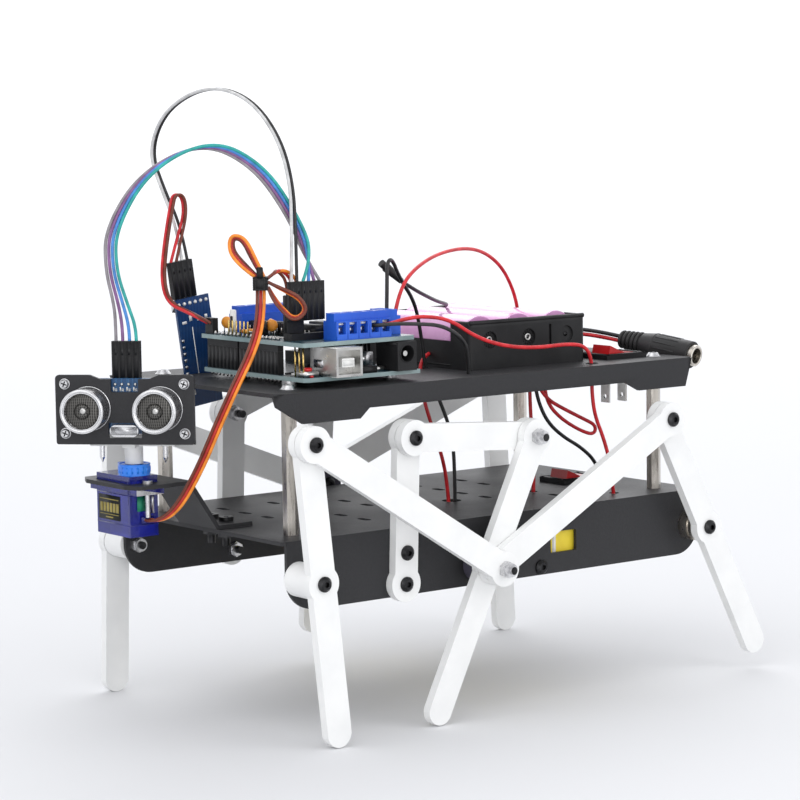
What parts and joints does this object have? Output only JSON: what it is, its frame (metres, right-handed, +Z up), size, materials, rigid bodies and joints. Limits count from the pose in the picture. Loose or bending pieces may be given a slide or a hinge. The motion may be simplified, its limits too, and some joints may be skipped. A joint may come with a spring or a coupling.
{
  "type": "hexapod walking robot",
  "caption": "Crank-driven walking robot kit: bent sheet decks on standoffs, white bar legs and linkages, gearmotors, turning ultrasonic head, control boards, battery holder and loose wiring.",
  "frame": {"origin": "centre of the bounding box without the wires, on the floor under the feet", "axes": "+Z up; the robot faces -Y and its length runs along Y; +X is the robot's left side"},
  "size_m": [0.1614, 0.291, 0.2394],
  "materials": {
    "black_sheet": "satin",
    "white_plastic": "smooth matte",
    "bright_steel": "nickel plated",
    "black_steel": "black oxide",
    "yellow_plastic": "gloss",
    "crank_plastic": "matte",
    "servo_blue": "clear tinted gloss",
    "horn_white": "matte",
    "board_blue": "solder mask",
    "black_plastic": "matte",
    "terminal_blue": "satin",
    "cell_wrap": "gloss sleeve",
    "switch_red": "gloss",
    "wire_blue": "satin insulation",
    "wire_brown": "satin insulation",
    "wire_orange": "satin insulation",
    "wire_red": "satin insulation",
    "wire_black": "satin insulation"
  },
  "bodies": {
    "chassis": {"lower_chassis": "black_sheet", "upper_deck": "black_sheet", "standoffs": "bright_steel", "deck_screws": "bright_steel", "black_screws": "black_steel", "lock_nuts": "bright_steel", "gearboxes": "yellow_plastic", "motor_cans": "bright_steel", "left_post": "white_plastic", "right_post": "white_plastic", "front_hip_spacers": "white_plastic", "rear_hip_spacers": "bright_steel", "servo_bracket": "black_sheet", "servo_case": "servo_blue", "controller_board": "board_blue", "controller_headers": "black_plastic", "usb_socket": "bright_steel", "power_socket": "black_plastic", "shield_board": "board_blue", "terminal_blocks": "terminal_blue", "driver_chips": "black_plastic", "jumper_plugs": "black_plastic", "bluetooth_board": "board_blue", "battery_holder": "black_plastic", "battery_cells": "cell_wrap", "upper_switch_housing": "black_plastic", "lower_switch_housing": "black_plastic", "dc_jack": "black_plastic", "dc_plug": "black_plastic", "zip_tie": "black_plastic", "sensor_wires": "wire_blue", "bluetooth_wires": "wire_brown", "servo_lead": "wire_orange", "supply_wires": "wire_red", "motor_wires": "wire_red", "jack_wires": "wire_black"},
    "sensor_head": {"servo_horn": "horn_white", "sensor_bracket": "black_sheet", "sensor_board": "board_blue", "sensor_transducers": "bright_steel", "sensor_plug": "black_plastic"},
    "upper_rocker": {"upper_switch": "switch_red"},
    "lower_rocker": {"lower_switch": "switch_red"},
    "left_crank_body": {"left_crank": "crank_plastic", "left_crank_pin": "bright_steel"},
    "left_front_leg_body": {"left_front_leg": "white_plastic"},
    "left_rear_leg_body": {"left_rear_leg": "white_plastic"},
    "left_middle_leg_body": {"left_middle_leg": "white_plastic"},
    "left_front_coupler_body": {"left_front_coupler": "white_plastic"},
    "left_rear_coupler_body": {"left_rear_coupler": "white_plastic"},
    "left_rocker_body": {"left_rocker": "white_plastic"},
    "right_crank_body": {"right_crank": "crank_plastic", "right_crank_pin": "bright_steel"},
    "right_front_leg_body": {"right_front_leg": "white_plastic"},
    "right_rear_leg_body": {"right_rear_leg": "white_plastic"},
    "right_middle_leg_body": {"right_middle_leg": "white_plastic"},
    "right_front_coupler_body": {"right_front_coupler": "white_plastic"},
    "right_rear_coupler_body": {"right_rear_coupler": "white_plastic"},
    "right_rocker_body": {"right_rocker": "white_plastic"}
  },
  "joints": [
    {"name": "head_turn", "type": "hinge", "parent": "chassis", "child": "sensor_head", "pos_m": [0, -0.11436, 0.10347], "axis": [0, 0, 1], "range_deg": [-128.5, 41.5]},
    {"name": "upper_switch_press", "type": "hinge", "parent": "chassis", "child": "upper_rocker", "pos_m": [0.0335, 0.09414, 0.12827], "axis": [1, 0, 0], "range_deg": [0, 20]},
    {"name": "lower_switch_press", "type": "hinge", "parent": "chassis", "child": "lower_rocker", "pos_m": [0.003, 0.09764, 0.07447], "axis": [1, 0, 0], "range_deg": [0, 20]},
    {"name": "left_crank_turn", "type": "hinge", "parent": "chassis", "child": "left_crank_body", "pos_m": [0.066, 0.01514, 0.06097], "axis": [1, 0, 0], "range_deg": [-16, 16]},
    {"name": "left_front_leg_swing", "type": "hinge", "parent": "chassis", "child": "left_front_leg_body", "pos_m": [0.066, -0.08036, 0.06097], "axis": [1, 0, 0], "range_deg": [-7, 7]},
    {"name": "left_rear_leg_swing", "type": "hinge", "parent": "chassis", "child": "left_rear_leg_body", "pos_m": [0.066, 0.11464, 0.06097], "axis": [1, 0, 0], "range_deg": [-4.2, 4.2]},
    {"name": "left_rocker_swing", "type": "hinge", "parent": "chassis", "child": "left_rocker_body", "pos_m": [0.066, -0.03156, 0.10907], "axis": [1, 0, 0], "range_deg": [-6.4, 6.4]},
    {"name": "left_front_coupler_swing", "type": "hinge", "parent": "left_crank_body", "child": "left_front_coupler_body", "pos_m": [0.066, 0.00101, 0.05771], "axis": [1, 0, 0], "range_deg": [-21.8, 21.8]},
    {"name": "left_rear_coupler_swing", "type": "hinge", "parent": "left_crank_body", "child": "left_rear_coupler_body", "pos_m": [0.066, 0.00101, 0.05771], "axis": [1, 0, 0], "range_deg": [-16.8, 16.8]},
    {"name": "left_middle_leg_swing", "type": "hinge", "parent": "left_crank_body", "child": "left_middle_leg_body", "pos_m": [0.066, 0.00101, 0.05771], "axis": [1, 0, 0], "range_deg": [-17.7, 17.7]},
    {"name": "right_crank_turn", "type": "hinge", "parent": "chassis", "child": "right_crank_body", "pos_m": [-0.066, 0.01514, 0.06097], "axis": [1, 0, 0], "range_deg": [-16, 16]},
    {"name": "right_front_leg_swing", "type": "hinge", "parent": "chassis", "child": "right_front_leg_body", "pos_m": [-0.066, -0.08036, 0.06097], "axis": [1, 0, 0], "range_deg": [-7.6, 7.6]},
    {"name": "right_rear_leg_swing", "type": "hinge", "parent": "chassis", "child": "right_rear_leg_body", "pos_m": [-0.066, 0.11464, 0.06097], "axis": [1, 0, 0], "range_deg": [-7.2, 7.2]},
    {"name": "right_rocker_swing", "type": "hinge", "parent": "chassis", "child": "right_rocker_body", "pos_m": [-0.066, -0.03156, 0.10907], "axis": [1, 0, 0], "range_deg": [-3.2, 3.2]},
    {"name": "right_front_coupler_swing", "type": "hinge", "parent": "right_crank_body", "child": "right_front_coupler_body", "pos_m": [-0.066, 0.0169, 0.07536], "axis": [1, 0, 0], "range_deg": [-18.8, 18.8]},
    {"name": "right_rear_coupler_swing", "type": "hinge", "parent": "right_crank_body", "child": "right_rear_coupler_body", "pos_m": [-0.066, 0.0169, 0.07536], "axis": [1, 0, 0], "range_deg": [-19.4, 19.4]},
    {"name": "right_middle_leg_swing", "type": "hinge", "parent": "right_crank_body", "child": "right_middle_leg_body", "pos_m": [-0.066, 0.0169, 0.07536], "axis": [1, 0, 0], "range_deg": [-23.2, 23.2]}
  ],
  "couplings": [
    {"joint": "left_front_leg_swing", "follows": "left_crank_turn", "ratio": -0.2484},
    {"joint": "left_rear_leg_swing", "follows": "left_crank_turn", "ratio": 0.075},
    {"joint": "left_rocker_swing", "follows": "left_crank_turn", "ratio": -0.2127},
    {"joint": "left_front_coupler_swing", "follows": "left_crank_turn", "ratio": -1.1749},
    {"joint": "left_rear_coupler_swing", "follows": "left_crank_turn", "ratio": -0.864},
    {"joint": "left_middle_leg_swing", "follows": "left_crank_turn", "ratio": -0.916},
    {"joint": "right_front_leg_swing", "follows": "right_crank_turn", "ratio": 0.2881},
    {"joint": "right_rear_leg_swing", "follows": "right_crank_turn", "ratio": 0.2606},
    {"joint": "right_rocker_swing", "follows": "right_crank_turn", "ratio": 0.0121},
    {"joint": "right_front_coupler_swing", "follows": "right_crank_turn", "ratio": -0.9867},
    {"joint": "right_rear_coupler_swing", "follows": "right_crank_turn", "ratio": -1.0243},
    {"joint": "right_middle_leg_swing", "follows": "right_crank_turn", "ratio": -1.2613}
  ]
}
